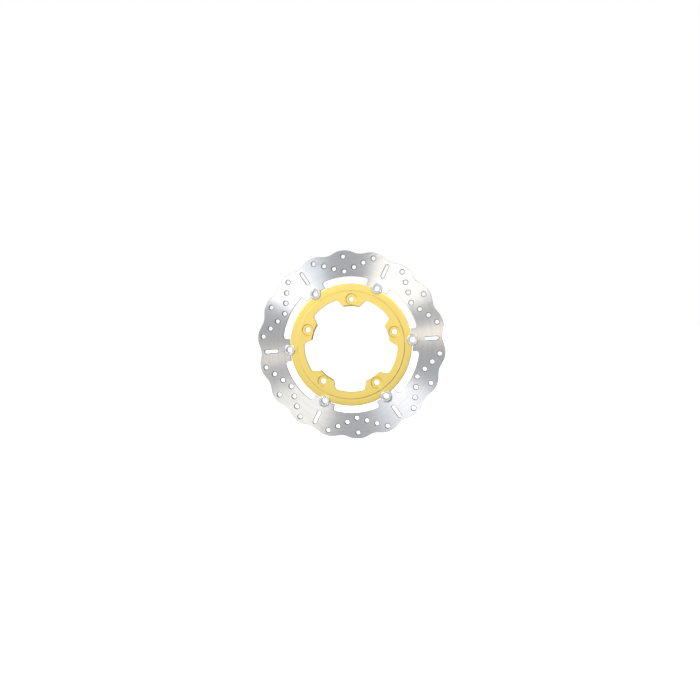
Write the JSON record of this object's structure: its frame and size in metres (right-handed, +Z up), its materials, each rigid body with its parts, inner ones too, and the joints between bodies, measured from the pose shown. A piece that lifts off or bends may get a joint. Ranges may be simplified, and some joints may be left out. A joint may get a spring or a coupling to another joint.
{
  "type": "brake disc rotor",
  "caption": "Floating front brake disc for a motorcycle: a drilled, slotted steel ring with a wavy edge, joined by hollow bobbins to a gold aluminium carrier with bolt tabs.",
  "frame": {"origin": "on the disc's axle, in the middle of the depth of the whole assembly", "axes": "+Y along the axle, towards the wheel that the disc bolts to; -Y looks out of the disc's front; +Z up"},
  "size_m": [0.3092, 0.0122, 0.3092],
  "materials": {
    "brake_ring": "circumferentially ground stainless steel",
    "carrier": "gold anodised, satin",
    "bobbin": "turned and bright plated",
    "wave_washer": "plain spring steel",
    "flat_washer": "zinc plated",
    "retaining_ring": "black phosphated spring steel"
  },
  "bodies": {
    "carrier": {"carrier": "carrier"},
    "ring": {"brake_ring": "brake_ring"},
    "bobbin_1": {"bobbin_1": "bobbin", "wave_washer_1": "wave_washer", "flat_washer_1": "flat_washer", "retaining_ring_1": "retaining_ring"},
    "bobbin_2": {"bobbin_2": "bobbin", "wave_washer_2": "wave_washer", "flat_washer_2": "flat_washer", "retaining_ring_2": "retaining_ring"},
    "bobbin_3": {"bobbin_3": "bobbin", "wave_washer_3": "wave_washer", "flat_washer_3": "flat_washer", "retaining_ring_3": "retaining_ring"},
    "bobbin_4": {"bobbin_4": "bobbin", "wave_washer_4": "wave_washer", "flat_washer_4": "flat_washer", "retaining_ring_4": "retaining_ring"},
    "bobbin_5": {"bobbin_5": "bobbin", "wave_washer_5": "wave_washer", "flat_washer_5": "flat_washer", "retaining_ring_5": "retaining_ring"},
    "bobbin_6": {"bobbin_6": "bobbin", "wave_washer_6": "wave_washer", "flat_washer_6": "flat_washer", "retaining_ring_6": "retaining_ring"}
  },
  "joints": [
    {"name": "ring_float", "type": "slide", "parent": "carrier", "child": "ring", "axis": [0, 1, 0], "range_m": [-0.00025, 0.00025]},
    {"name": "bobbin_1_turn", "type": "hinge", "parent": "carrier", "child": "bobbin_1", "pos_m": [0.10141, -0.0015, 0.00887], "axis": [0, 1, 0], "continuous": true},
    {"name": "bobbin_2_turn", "type": "hinge", "parent": "carrier", "child": "bobbin_2", "pos_m": [0.04302, -0.0015, 0.09226], "axis": [0, 1, 0], "continuous": true},
    {"name": "bobbin_3_turn", "type": "hinge", "parent": "carrier", "child": "bobbin_3", "pos_m": [-0.05839, -0.0015, 0.08339], "axis": [0, 1, 0], "continuous": true},
    {"name": "bobbin_4_turn", "type": "hinge", "parent": "carrier", "child": "bobbin_4", "pos_m": [-0.10141, -0.0015, -0.00887], "axis": [0, 1, 0], "continuous": true},
    {"name": "bobbin_5_turn", "type": "hinge", "parent": "carrier", "child": "bobbin_5", "pos_m": [-0.04302, -0.0015, -0.09226], "axis": [0, 1, 0], "continuous": true},
    {"name": "bobbin_6_turn", "type": "hinge", "parent": "carrier", "child": "bobbin_6", "pos_m": [0.05839, -0.0015, -0.08339], "axis": [0, 1, 0], "continuous": true}
  ]
}
